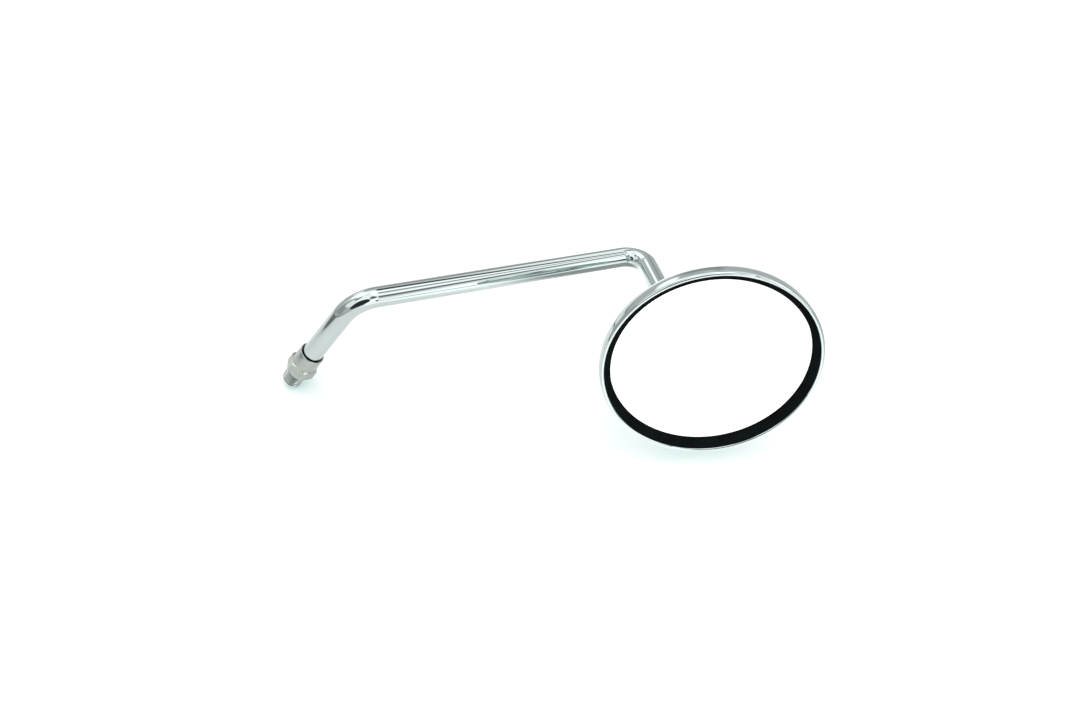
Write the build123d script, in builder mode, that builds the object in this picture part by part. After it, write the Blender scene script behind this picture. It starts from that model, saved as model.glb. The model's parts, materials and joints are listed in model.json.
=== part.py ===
from build123d import *
import os
from math import acos, asin, atan2, cos, degrees, radians, sin, sqrt, tan

# Round chromed mirror on a bent rod stem, for the right-hand side of a handlebar. Millimetres, degrees.
# The origin is on the axis of the stem's thread, in the plane where the lock nut seats.
# +Z runs up the thread, +X points outboard along the stem's reach, -Y points back at the rider.

# Stem
stem_diameter = 10.0
thread_diameter = 10.0
thread_pitch_diameter = 9.19
thread_exposed = 9.0
thread_tip_chamfer = 1.0
bend_1_height = 57.0
bend_1_angle = 70.0
bend_1_radius = 16.0
long_run = 151.0
bend_2_angle = 102.0
bend_2_roll = 23.0
bend_2_radius = 10.0
leg_length = 71.0
spigot_diameter = 6.0
rivet_head_diameter = 8.4
rivet_head_height = 1.3

# Lock nut
hex_sides = 6
nut_across_flats = 13.0
nut_hex_height = 6.2
nut_face_margin = 0.15
nut_chamfer_angle = 30.0
nut_turn = 10.0
nut_thread_length = 7.6
skirt_wall = 0.5
skirt_taper = 0.2
skirt_length = 7.9
skirt_lip_round = 0.25

# Ball pivot
ball_diameter = 16.0
ball_inset = 2.5
cup_thickness = 1.2
tilt_range = 12.0
rear_cup_front_angle = 84.0
front_cup_inner_angle = 26.0
front_cup_outer_angle = 60.0

# Shell
rim_diameter = 102.0
sheet_thickness = 0.8
lip_radius = 0.95
lip_wrap = 65.0
wall_depth = 3.1
shoulder_radius = 9.0
dome_radius = 64.0
boss_blend_radius = 2.5
boss_seam_angle = 3.0
face_yaw = 26.0
face_pitch = 11.0

# Glass and its seat
glass_thickness = 2.0
glass_recess = 3.9
gasket_wall = 2.0
gasket_overlap = 1.85
gasket_front_edge = 1.3
gasket_back_lip = 1.2
gasket_back_width = 2.0
gasket_shoulder = 1.6
packing_thickness = 1.2

# Clamp behind the ball
clamp_plate_thickness = 1.5
clamp_seat_angle = 62.0
clamp_hole_diameter = 7.0
clamp_ear_margin = 1.2
stud_count = 3
stud_diameter = 4.0
stud_to_dimple = 2.3
first_stud_angle = 90.0
stud_protrusion = 1.2
washer_diameter = 7.6
washer_thickness = 0.9
washer_slit = 1.0
clamp_nut_across_flats = 7.0
clamp_nut_height = 3.2

# Clearances
seat_gap = 0.1
thread_clearance = 0.05
skirt_clearance = 0.6
press_clearance = 0.02
ball_clearance = 0.1
rubber_clearance = 0.05
card_clearance = 0.3
stud_clearance = 0.25
bolt_clearance = 0.05
tilt_clearance = 0.3


def direction(yaw, pitch):
    """Unit vector that looks back at the rider, turned inboard by yaw and raised by pitch."""
    level = cos(radians(pitch))
    return Vector(-sin(radians(yaw)) * level, -cos(radians(yaw)) * level, sin(radians(pitch)))


def section_plane(plane):
    """Plane through the axis of a round piece: local X is its radius and local Y runs along the axis."""
    return Plane(origin=plane.origin, x_dir=plane.x_dir, z_dir=plane.x_dir.cross(plane.z_dir))


# Places along the stem
stem_radius = stem_diameter / 2
thread_radius = thread_diameter / 2
ball_radius = ball_diameter / 2
up = Vector(0, 0, 1)
run_direction = Vector(sin(radians(bend_1_angle)), 0, cos(radians(bend_1_angle)))
run_normal = Vector(-cos(radians(bend_1_angle)), 0, sin(radians(bend_1_angle)))
leg_side = run_normal * sin(radians(bend_2_roll)) - Vector(0, 1, 0) * cos(radians(bend_2_roll))
leg_direction = run_direction * cos(radians(bend_2_angle)) + leg_side * sin(radians(bend_2_angle))
bend_1 = up * bend_1_height
bend_2 = bend_1 + run_direction * long_run
ball_centre = bend_2 + leg_direction * leg_length
shoulder_distance = sqrt(ball_radius**2 - stem_radius**2)
pivot = Plane(origin=ball_centre, x_dir=up.cross(leg_direction), z_dir=leg_direction)
pivot_section = section_plane(pivot)
pivot_axis = Axis(ball_centre, leg_direction)

# Spherical layers around the ball
cup_inner_radius = ball_radius + ball_clearance
cup_outer_radius = cup_inner_radius + cup_thickness
seat_radius = cup_outer_radius + ball_clearance
boss_radius = seat_radius + sheet_thickness

# The rod may lean by the corner of both tilts before it meets the edge of its hole.
tilt_cone = degrees(acos(cos(radians(tilt_range)) ** 2))
hole_angle = degrees(asin(stem_radius / seat_radius) + tilt_clearance / seat_radius) + tilt_cone
cup_hole_angle = asin(stem_radius / cup_inner_radius) + tilt_clearance / cup_inner_radius
rear_cup_back_angle = degrees(cup_hole_angle) + tilt_cone

# Places in the head: the dome's centre is ahead of the glass, on the line of the stem's last leg.
rim_radius = rim_diameter / 2
dome_inner_radius = dome_radius - sheet_thickness
lip_centre_radius = rim_radius - lip_radius
shoulder_centre_radius = rim_radius - shoulder_radius
dome_height = sqrt((dome_radius - shoulder_radius) ** 2 - shoulder_centre_radius**2) - wall_depth
pivot_to_dome = dome_inner_radius - ball_inset
face_normal = direction(face_yaw, face_pitch)
dome_centre = ball_centre + leg_direction * pivot_to_dome
rim_centre = dome_centre - face_normal * dome_height
face = Plane(origin=rim_centre, x_dir=up.cross(face_normal), z_dir=face_normal)
face_section = section_plane(face)
face_axis = Axis(rim_centre, face_normal)

# Levels in the head, measured forward from the plane of the rim
glass_front = -glass_recess
glass_back = glass_front - glass_thickness
gasket_back = glass_back - gasket_back_lip

# Radii in the head: the glass is cut to leave the gasket's wall between its back edge and the shell.
gasket_outer_radius = rim_radius - sheet_thickness - rubber_clearance
gasket_shoulder_radius = shoulder_radius - sheet_thickness - rubber_clearance


def inside_radius(level):
    """Radius of the gasket's outer face, which follows the inside of the shell's wall and shoulder."""
    below_wall = max(0, -level - wall_depth)
    return shoulder_centre_radius + sqrt(gasket_shoulder_radius**2 - below_wall**2)


groove_radius = inside_radius(glass_back) - gasket_wall
glass_radius = groove_radius - rubber_clearance
sight_radius = glass_radius - gasket_overlap
gasket_inner_radius = glass_radius - gasket_back_width

# Radii in the clamp: its studs stand clear of the dimple that holds the front cup.
dimple_radius = seat_radius + clamp_plate_thickness
stud_circle_radius = dimple_radius + washer_diameter / 2 + stud_to_dimple
clamp_ear_radius = washer_diameter / 2 + clamp_ear_margin

# Levels in the clamp, measured from the ball's centre towards the glass
clamp_back = seat_radius * cos(radians(clamp_seat_angle))
clamp_front = clamp_back + clamp_plate_thickness
washer_front = clamp_front + washer_thickness
clamp_nut_front = washer_front + clamp_nut_height
stud_front = clamp_nut_front + stud_protrusion


def polar(radius, angle):
    """Point of a section, at an angle from the axis that points back along the stem."""
    return (radius * sin(radians(angle)), -radius * cos(radians(angle)))


def ring_sector(inner, outer, start, end):
    """Closed outline between two arcs around the ball's centre, from one polar angle to another."""
    CenterArc((0, 0), outer, start - 90, end - start)
    Line(polar(outer, end), polar(inner, end))
    CenterArc((0, 0), inner, end - 90, start - end)
    Line(polar(inner, start), polar(outer, start))


# Stem: one chromed rod, threaded at the bottom and turned down at the top for the ball
engaged_top = seat_gap + nut_thread_length + seat_gap
with BuildPart() as stem:
    with BuildLine():
        FilletPolyline(
            (0, 0, engaged_top),
            bend_1,
            bend_2,
            ball_centre - leg_direction * shoulder_distance,
            radius=[bend_1_radius, bend_2_radius],
        )
    with BuildSketch(Plane.XY.offset(engaged_top)):
        Circle(stem_radius)
    sweep()
    # The thread is drawn at its outside below the nut, and at its pitch line where the nut meshes with it.
    with BuildSketch(Plane.XY):
        Circle(thread_pitch_diameter / 2 - thread_clearance)
    extrude(amount=engaged_top)
    with BuildSketch(Plane.XY):
        Circle(thread_radius)
    extrude(amount=-thread_exposed)
    tip_edge = stem.edges().filter_by(GeomType.CIRCLE).sort_by(Axis.Z)[0]
    chamfer(tip_edge, length=thread_tip_chamfer)
    # The spigot passes through the ball and is riveted over in front of it.
    rivet_back = sqrt(ball_radius**2 - (rivet_head_diameter / 2) ** 2) - rivet_head_height
    with BuildSketch(pivot.offset(-shoulder_distance)):
        Circle(spigot_diameter / 2)
    extrude(amount=shoulder_distance + rivet_back)
    with BuildSketch(pivot.offset(rivet_back)):
        Circle(rivet_head_diameter / 2)
    extrude(amount=rivet_head_height - press_clearance)
stem.part.label = "stem"

# Pivot ball: bored for the spigot, with a counterbore for the riveted head
ball_bore_radius = spigot_diameter / 2 + press_clearance
rivet_bore_radius = rivet_head_diameter / 2 + press_clearance
ball_front = sqrt(ball_radius**2 - rivet_bore_radius**2)
with BuildPart() as pivot_ball:
    with BuildSketch(pivot_section):
        with BuildLine():
            shoulder_angle = degrees(asin(stem_radius / ball_radius))
            front_angle = 180 - degrees(asin(rivet_bore_radius / ball_radius))
            CenterArc((0, 0), ball_radius, shoulder_angle - 90, front_angle - shoulder_angle)
            Polyline(
                (rivet_bore_radius, ball_front),
                (rivet_bore_radius, rivet_back),
                (ball_bore_radius, rivet_back),
                (ball_bore_radius, -shoulder_distance),
                (stem_radius, -shoulder_distance),
            )
        make_face()
    revolve(axis=pivot_axis)
pivot_ball.part.label = "pivot_ball"

# Lock nut: a chamfered hexagon with a turned skirt that narrows upwards and hides the end of the thread
nut_back = seat_gap
nut_shoulder = nut_back + nut_hex_height
nut_mouth = nut_shoulder + skirt_length
nut_thread_top = nut_back + nut_thread_length
nut_face_radius = nut_across_flats / 2 - nut_face_margin
nut_corner_radius = nut_across_flats / 2 / cos(radians(180 / hex_sides))
nut_chamfer = (nut_corner_radius - nut_face_radius) * tan(radians(nut_chamfer_angle))
skirt_bore_radius = stem_radius + skirt_clearance
skirt_mouth_radius = skirt_bore_radius + skirt_wall
skirt_base_radius = skirt_mouth_radius + skirt_taper
with BuildPart() as lock_nut:
    with BuildSketch(Plane.XY.offset(nut_back)):
        RegularPolygon(nut_across_flats / 2, hex_sides, major_radius=False, rotation=nut_turn)
    extrude(amount=nut_hex_height)
    with BuildSketch(Plane.XZ):
        with BuildLine():
            Polyline(
                (0, nut_back),
                (nut_face_radius, nut_back),
                (nut_corner_radius, nut_back + nut_chamfer),
                (nut_corner_radius, nut_shoulder - nut_chamfer),
                (nut_face_radius, nut_shoulder),
                (0, nut_shoulder),
                close=True,
            )
        make_face()
    revolve(axis=Axis.Z, mode=Mode.INTERSECT)
    with BuildSketch(Plane.XZ):
        with BuildLine():
            Polyline(
                (0, nut_shoulder),
                (skirt_base_radius, nut_shoulder),
                (skirt_mouth_radius, nut_mouth),
                (0, nut_mouth),
                close=True,
            )
        make_face()
    revolve(axis=Axis.Z)
    fillet(lock_nut.edges().filter_by(GeomType.CIRCLE).sort_by(Axis.Z)[-1], radius=skirt_lip_round)
    with BuildSketch(Plane.XY.offset(nut_back)):
        Circle(thread_pitch_diameter / 2)
    extrude(amount=nut_thread_length, mode=Mode.SUBTRACT)
    with BuildSketch(Plane.XY.offset(nut_thread_top)):
        Circle(skirt_bore_radius)
    extrude(amount=nut_mouth - nut_thread_top, mode=Mode.SUBTRACT)
lock_nut.part.label = "lock_nut"

# Shell: a pressed bowl with a short wall and a rolled lip, and a drawn boss around the ball
shoulder_start = degrees(atan2(-wall_depth - dome_height, shoulder_centre_radius))
shoulder_centre = (shoulder_centre_radius, -wall_depth)
wall_inner_radius = rim_radius - sheet_thickness
lip_end = 90 + lip_wrap
lip_centre = (lip_centre_radius, -lip_radius)


def on_lip(radius, angle):
    """Point at a distance and an angle from the centre of the rolled lip's section."""
    return (
        lip_centre[0] + radius * cos(radians(angle)),
        lip_centre[1] + radius * sin(radians(angle)),
    )


blend_to_ball = boss_radius + boss_blend_radius
blend_to_dome = dome_radius + boss_blend_radius
blend_axial = (pivot_to_dome**2 + blend_to_ball**2 - blend_to_dome**2) / (2 * pivot_to_dome)
blend_radial = sqrt(blend_to_ball**2 - blend_axial**2)
blend_polar = degrees(atan2(blend_radial, -blend_axial))
blend_start = degrees(atan2(-blend_axial, -blend_radial))
blend_end = degrees(atan2(pivot_to_dome - blend_axial, -blend_radial))
blend_dome_polar = degrees(atan2(blend_radial, pivot_to_dome - blend_axial))
seam_polar = blend_dome_polar + boss_seam_angle


def on_dome(radius, angle):
    """Point of the pivot's section on a sphere around the dome's centre."""
    radial, axial = polar(radius, angle)
    return (radial, pivot_to_dome + axial)


with BuildPart() as shell:
    with BuildSketch(face_section):
        with BuildLine():
            CenterArc((0, dome_height), dome_radius, -90, shoulder_start + 90)
            CenterArc(shoulder_centre, shoulder_radius, shoulder_start, -shoulder_start)
            Line((rim_radius, -wall_depth), (rim_radius, -lip_radius))
            CenterArc(lip_centre, lip_radius, 0, lip_end)
            Line(on_lip(lip_radius, lip_end), on_lip(lip_radius - sheet_thickness, lip_end))
            CenterArc(lip_centre, lip_radius - sheet_thickness, lip_end, -lip_end)
            Line((wall_inner_radius, -lip_radius), (wall_inner_radius, -wall_depth))
            CenterArc(shoulder_centre, shoulder_radius - sheet_thickness, 0, shoulder_start)
            CenterArc((0, dome_height), dome_inner_radius, shoulder_start, -90 - shoulder_start)
            Line((0, dome_height - dome_inner_radius), (0, dome_height - dome_radius))
        make_face()
    revolve(axis=face_axis)
    # The boss replaces the round patch of the dome that it is drawn from.
    with BuildSketch(pivot_section):
        with BuildLine():
            CenterArc((0, pivot_to_dome), dome_radius + sheet_thickness, -90, seam_polar)
            Line(on_dome(dome_radius + sheet_thickness, seam_polar), (0, pivot_to_dome))
            Line((0, pivot_to_dome), on_dome(dome_radius + sheet_thickness, 0))
        make_face()
    revolve(axis=pivot_axis, mode=Mode.SUBTRACT)
    with BuildSketch(pivot_section):
        with BuildLine():
            CenterArc((0, 0), boss_radius, hole_angle - 90, blend_polar - hole_angle)
            CenterArc((blend_radial, blend_axial), boss_blend_radius, blend_start, blend_end - blend_start)
            CenterArc((0, pivot_to_dome), dome_radius, blend_dome_polar - 90, boss_seam_angle)
            Line(on_dome(dome_radius, seam_polar), on_dome(dome_inner_radius, seam_polar))
            CenterArc((0, pivot_to_dome), dome_inner_radius, seam_polar - 90, -boss_seam_angle)
            CenterArc(
                (blend_radial, blend_axial),
                boss_blend_radius + sheet_thickness,
                blend_end,
                blend_start - blend_end,
            )
            CenterArc((0, 0), seat_radius, blend_polar - 90, hole_angle - blend_polar)
            Line(polar(seat_radius, hole_angle), polar(boss_radius, hole_angle))
        make_face()
    revolve(axis=pivot_axis)
shell.part.label = "shell"

# Gasket: a rubber ring under the rolled lip, grooved for the edge of the glass
lip_edge = on_lip(lip_radius, lip_end)
gasket_back_point = (inside_radius(gasket_back), gasket_back)
gasket_arc = degrees(asin((-gasket_back - wall_depth) / gasket_shoulder_radius))
with BuildPart() as gasket:
    with BuildSketch(face_section):
        with BuildLine():
            Polyline(
                (lip_edge[0], lip_edge[1] - rubber_clearance),
                (gasket_outer_radius, -gasket_shoulder),
                (gasket_outer_radius, -wall_depth),
            )
            CenterArc(shoulder_centre, gasket_shoulder_radius, 0, -gasket_arc)
            Polyline(
                gasket_back_point,
                (gasket_inner_radius, gasket_back),
                (gasket_inner_radius, glass_back),
                (groove_radius, glass_back),
                (groove_radius, glass_front),
                (sight_radius, glass_front),
                (sight_radius, glass_front + gasket_front_edge),
                (lip_edge[0], lip_edge[1] - rubber_clearance),
            )
        make_face()
    revolve(axis=face_axis)
gasket.part.label = "gasket"

# Mirror glass: a flat round plate, silvered on its back
with BuildPart() as mirror_glass:
    with BuildSketch(face.offset(glass_back)):
        Circle(glass_radius)
    extrude(amount=glass_thickness)
mirror_glass.part.label = "mirror_glass"

# Packing disc: card behind the silvering
with BuildPart() as packing_disc:
    with BuildSketch(face.offset(glass_back)):
        Circle(gasket_inner_radius - card_clearance)
    extrude(amount=-packing_thickness)
packing_disc.part.label = "packing_disc"

# Friction cups: plain plastic rings, one behind the ball and one in front of it
with BuildPart() as rear_friction_cup:
    with BuildSketch(pivot_section):
        with BuildLine():
            ring_sector(cup_inner_radius, cup_outer_radius, rear_cup_back_angle, rear_cup_front_angle)
        make_face()
    revolve(axis=pivot_axis)
rear_friction_cup.part.label = "rear_friction_cup"

with BuildPart() as front_friction_cup:
    with BuildSketch(pivot_section):
        with BuildLine():
            ring_sector(
                cup_inner_radius,
                cup_outer_radius,
                180 - front_cup_outer_angle,
                180 - front_cup_inner_angle,
            )
        make_face()
    revolve(axis=pivot_axis)
front_friction_cup.part.label = "front_friction_cup"

# Clamp plate: a pressed plate with rounded ears and a dimple that holds the front cup
with BuildPart() as clamp_plate:
    with BuildSketch(pivot.offset(clamp_back)) as clamp_outline:
        with PolarLocations(stud_circle_radius, stud_count, start_angle=first_stud_angle):
            Circle(clamp_ear_radius)
        make_hull(clamp_outline.sketch_local.edges())
    extrude(amount=clamp_plate_thickness)
    with BuildSketch(pivot_section):
        with BuildLine():
            dimple_edge = (sqrt(dimple_radius**2 - clamp_back**2), clamp_back)
            edge_angle = degrees(atan2(clamp_back, dimple_edge[0]))
            CenterArc((0, 0), dimple_radius, edge_angle, 90 - edge_angle)
            Polyline((0, dimple_radius), (0, clamp_back), dimple_edge)
        make_face()
    revolve(axis=pivot_axis)
    with Locations(ball_centre):
        Sphere(seat_radius, mode=Mode.SUBTRACT)
    with BuildSketch(pivot):
        Circle(clamp_hole_diameter / 2)
    extrude(amount=dimple_radius, mode=Mode.SUBTRACT)
    with BuildSketch(pivot.offset(clamp_back)):
        with PolarLocations(stud_circle_radius, stud_count, start_angle=first_stud_angle):
            Circle(stud_diameter / 2 + stud_clearance)
    extrude(amount=clamp_plate_thickness, mode=Mode.SUBTRACT)
clamp_plate.part.label = "clamp_plate"

# Clamp studs: welded to the inside of the dome around the boss
with BuildPart() as clamp_studs:
    with BuildSketch(pivot):
        with PolarLocations(stud_circle_radius, stud_count, start_angle=first_stud_angle):
            Circle(stud_diameter / 2)
    extrude(amount=stud_front)
    with Locations(dome_centre):
        Sphere(dome_inner_radius, mode=Mode.INTERSECT)
clamp_studs.part.label = "clamp_studs"

# Spring washers: split rings under the clamp nuts
slit_circle_radius = stud_circle_radius + washer_diameter / 2
with BuildPart() as spring_washers:
    with BuildSketch(pivot.offset(clamp_front)):
        with PolarLocations(stud_circle_radius, stud_count, start_angle=first_stud_angle):
            Circle(washer_diameter / 2)
            Circle(stud_diameter / 2 + stud_clearance, mode=Mode.SUBTRACT)
        with PolarLocations(slit_circle_radius, stud_count, start_angle=first_stud_angle):
            Rectangle(washer_diameter, washer_slit, mode=Mode.SUBTRACT)
    extrude(amount=washer_thickness)
spring_washers.part.label = "spring_washers"

# Clamp nuts: hexagon nuts that pull the clamp plate against the ball
with BuildPart() as clamp_nuts:
    with BuildSketch(pivot.offset(washer_front)):
        with PolarLocations(stud_circle_radius, stud_count, start_angle=first_stud_angle):
            RegularPolygon(clamp_nut_across_flats / 2, hex_sides, major_radius=False)
            Circle(stud_diameter / 2 + bolt_clearance, mode=Mode.SUBTRACT)
    extrude(amount=clamp_nut_height)
clamp_nuts.part.label = "clamp_nuts"

os.makedirs("parts", exist_ok=True)
export_step(stem.part, "parts/stem.step")
export_step(pivot_ball.part, "parts/pivot_ball.step")
export_step(lock_nut.part, "parts/lock_nut.step")
export_step(shell.part, "parts/shell.step")
export_step(gasket.part, "parts/gasket.step")
export_step(mirror_glass.part, "parts/mirror_glass.step")
export_step(packing_disc.part, "parts/packing_disc.step")
export_step(rear_friction_cup.part, "parts/rear_friction_cup.step")
export_step(front_friction_cup.part, "parts/front_friction_cup.step")
export_step(clamp_plate.part, "parts/clamp_plate.step")
export_step(clamp_studs.part, "parts/clamp_studs.step")
export_step(spring_washers.part, "parts/spring_washers.step")
export_step(clamp_nuts.part, "parts/clamp_nuts.step")
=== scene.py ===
import json
from math import asin, atan2, cos, pi, radians, sin, sqrt, tan

import bmesh
import bpy
from bmesh.types import BMEdge, BMVert
from mathutils import Matrix, Vector


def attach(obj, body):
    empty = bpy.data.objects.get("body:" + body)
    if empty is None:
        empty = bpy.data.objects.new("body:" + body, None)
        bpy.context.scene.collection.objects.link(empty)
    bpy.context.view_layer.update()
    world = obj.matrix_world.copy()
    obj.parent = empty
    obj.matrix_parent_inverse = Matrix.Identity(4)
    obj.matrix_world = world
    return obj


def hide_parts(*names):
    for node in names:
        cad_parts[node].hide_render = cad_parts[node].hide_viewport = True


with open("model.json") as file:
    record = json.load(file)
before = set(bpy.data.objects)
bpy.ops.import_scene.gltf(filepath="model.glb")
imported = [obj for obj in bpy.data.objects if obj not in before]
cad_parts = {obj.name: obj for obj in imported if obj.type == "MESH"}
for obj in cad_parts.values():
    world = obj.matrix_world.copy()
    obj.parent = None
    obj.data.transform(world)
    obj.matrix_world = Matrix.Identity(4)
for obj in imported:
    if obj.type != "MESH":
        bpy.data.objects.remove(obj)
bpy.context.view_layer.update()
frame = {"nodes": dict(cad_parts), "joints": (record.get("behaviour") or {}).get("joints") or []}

bl_info = {
    "name": "Round Handlebar Mirror",
    "version": (1, 0, 0),
    "blender": (4, 5, 0),
    "location": "3D View > Sidebar > Mirror",
    "description": "Round chromed mirror on a bent rod stem, with its finishes and a white studio",
    "category": "Object",
}

MM = 0.001
UP = Vector((0.0, 0.0, 1.0))
JOINTS = {joint["name"]: joint for joint in frame["joints"]}
BALL_CENTRE = Vector(JOINTS["head_turn"]["pos_m"])
LEG = Vector(JOINTS["head_turn"]["axis"]).normalized()

# Points within the first distance are one, and where the turns of the thread join, within the second.
MERGE = 1e-7
MERGE_TURNS = 2e-6

# Steps in one turn of the head's pieces, the nut, the rod and the thread.
HEAD_STEPS = 144
NUT_STEPS = 96
ROD_STEPS = 64
THREAD_STEPS = 48

# Thread: its depth as a share of the pitch, the corners of its ridge as shares of the depth below the
# crest and of the pitch above the last corner, and the height where it ends inside the nut.
THREAD_DEPTH = 0.6134
THREAD_RIDGE = ((1.0, 0.16), (0.5, 0.19), (0.1, 0.15), (0.0, 0.06), (0.0, 0.1), (0.1, 0.06), (0.5, 0.15))
THREAD_TOP = 0.05 * MM

# How far the points of the boss's seam may lie off the dome.
SEAM_ROOM = 0.02 * MM

# Sockets of a mix node that take and give colours.
COLOUR_A, COLOUR_B, COLOUR_OUT = 6, 7, 2

# Sockets of the shader groups that hold vectors. All others hold numbers.
VECTOR_SOCKETS = ("Vector", "Lay")

# Levels of the noise where the haze starts and where it is full.
HAZE_RANGE = (0.38, 0.72)

# Finishes: colour, factor of the haze on it, metal, scale of the hazed patches, roughness off and on
# them, scale of the fine relief, its height in metres and its stretch.
EVEN = (1.0, 1.0, 1.0)
FINISHES = {
    "Threaded Chrome": ("chrome", 0.96, 1.0, 45.0, 0.0, 0.02, 500.0, 5e-8, EVEN),
    "Dull Nickel": ("nickel", 0.85, 1.0, 260.0, 0.09, 0.2, 900.0, 6e-6, (0.25, 0.25, 4.0)),
    "Bright Chrome": ("chrome", 0.96, 1.0, 45.0, 0.0, 0.02, 500.0, 5e-8, EVEN),
    "Black Rubber": ("rubber", 1.6, 0.0, 120.0, 0.45, 0.60, 2600.0, 8e-6, EVEN),
    "Silvered Glass": ("silvering", 0.985, 1.0, 30.0, 0.0, 0.012, 60.0, 1e-8, EVEN),
    "Ball Steel": ("ball_steel", 0.85, 1.0, 300.0, 0.18, 0.32, 1500.0, 2e-6, EVEN),
    "Zinc Plate": ("zinc", 0.8, 1.0, 220.0, 0.3, 0.48, 1200.0, 6e-6, EVEN),
    "Nylon": ("nylon", 0.88, 0.0, 150.0, 0.35, 0.5, 1800.0, 6e-6, EVEN),
    "Packing Card": ("card", 0.7, 0.0, 90.0, 0.8, 0.95, 1400.0, 4e-5, (1.0, 0.3, 1.0)),
}

# Pieces inside the head by their finish.
INNER_PARTS = {
    "Ball Steel": ("pivot_ball",),
    "Zinc Plate": ("clamp_plate", "clamp_studs", "spring_washers", "clamp_nuts"),
    "Nylon": ("rear_friction_cup", "front_friction_cup"),
    "Packing Card": ("packing_disc",),
}

# Depths in the thread where the painted shade is full and where it ends, as shares of the pitch, and the
# height that it reaches to.
ROOT_SHADE_DEPTHS = (0.45, 0.03)
ROOT_SHADE_TOP = 0.06 * MM


def length(name, text, millimetres):
    return bpy.props.FloatProperty(
        name=name, description=text, default=millimetres * MM, min=0.0, unit="LENGTH", precision=5
    )


def angle(name, text, degrees):
    return bpy.props.FloatProperty(name=name, description=text, default=radians(degrees), subtype="ANGLE")


def colour(name, text, red, green, blue):
    return bpy.props.FloatVectorProperty(
        name=name, description=text, default=(red, green, blue), min=0.0, max=1.0, subtype="COLOR"
    )


def amount(name, text, value):
    return bpy.props.FloatProperty(name=name, description=text, default=value, min=0.0)


def direction(name, text, vector):
    return bpy.props.FloatVectorProperty(name=name, description=text, default=vector, subtype="DIRECTION")


class MirrorStemSizes(bpy.types.PropertyGroup):
    """Sizes of the bent rod and its thread"""

    rod_diameter: length("Rod diameter", "Diameter of the chromed rod", 10.0)
    thread_pitch: length("Thread pitch", "Rise of the thread in one turn", 1.25)
    thread_exposed: length("Thread below nut", "Thread that stands out below the lock nut", 9.0)
    tip_chamfer: length("Tip chamfer", "Chamfer at the end of the thread", 1.0)
    neck_top: length("Neck top", "Height at which the full rod starts inside the nut's skirt", 7.8)
    neck_diameter: length("Neck diameter", "Diameter of the rod where the nut meshes with it", 9.08)
    bend_1_height: length("Lower bend height", "Height of the lower bend's corner", 57.0)
    bend_1_angle: angle("Lower bend angle", "Turn of the rod at its lower bend", 70.0)
    bend_1_radius: length("Lower bend radius", "Radius of the rod's centre line at the lower bend", 16.0)
    long_run: length("Long run", "Length between the corners of the two bends", 151.0)
    bend_2_angle: angle("Upper bend angle", "Turn of the rod at its upper bend", 102.0)
    bend_2_radius: length("Upper bend radius", "Radius of the rod's centre line at the upper bend", 10.0)
    spigot_diameter: length("Spigot diameter", "Diameter of the rod's end inside the ball", 6.0)
    rivet_diameter: length("Rivet diameter", "Diameter of the riveted end in front of the ball", 8.4)
    rivet_height: length("Rivet height", "Height of the riveted end", 1.28)
    ball_diameter: length("Ball diameter", "Diameter of the ball on the spigot", 16.0)


class MirrorNutSizes(bpy.types.PropertyGroup):
    """Sizes of the lock nut"""

    across_flats: length("Across flats", "Width of the hexagon between flats", 13.0)
    across_corners: length("Across corners", "Width of the hexagon over its rounded corners", 14.8)
    face_diameter: length("Face diameter", "Diameter of the chamfered face at the seat", 12.7)
    chamfer_angle: angle("Chamfer angle", "Slope of the chamfers on the hexagon", 30.0)
    turn: angle("Turn", "How far the corners are turned round the thread", 10.0)
    back: length("Back", "Height of the nut's seat", 0.1)
    hex_height: length("Hexagon height", "Height of the hexagon", 6.2)
    bore: length("Thread bore", "Bore where the thread meshes", 9.19)
    thread_length: length("Thread length", "Length of the threaded bore", 7.6)
    skirt_base: length("Skirt base", "Outside of the turned skirt above the hexagon", 12.6)
    skirt_mouth: length("Skirt mouth", "Outside of the turned skirt at its mouth", 12.2)
    skirt_bore: length("Skirt bore", "Inside of the turned skirt", 11.2)
    skirt_length: length("Skirt length", "Length of the skirt above the hexagon", 7.9)
    lip_round: length("Lip round", "Rounding of the skirt's mouth", 0.25)
    edge_break: length("Edge break", "Width of the broken edges", 0.07)


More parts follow.
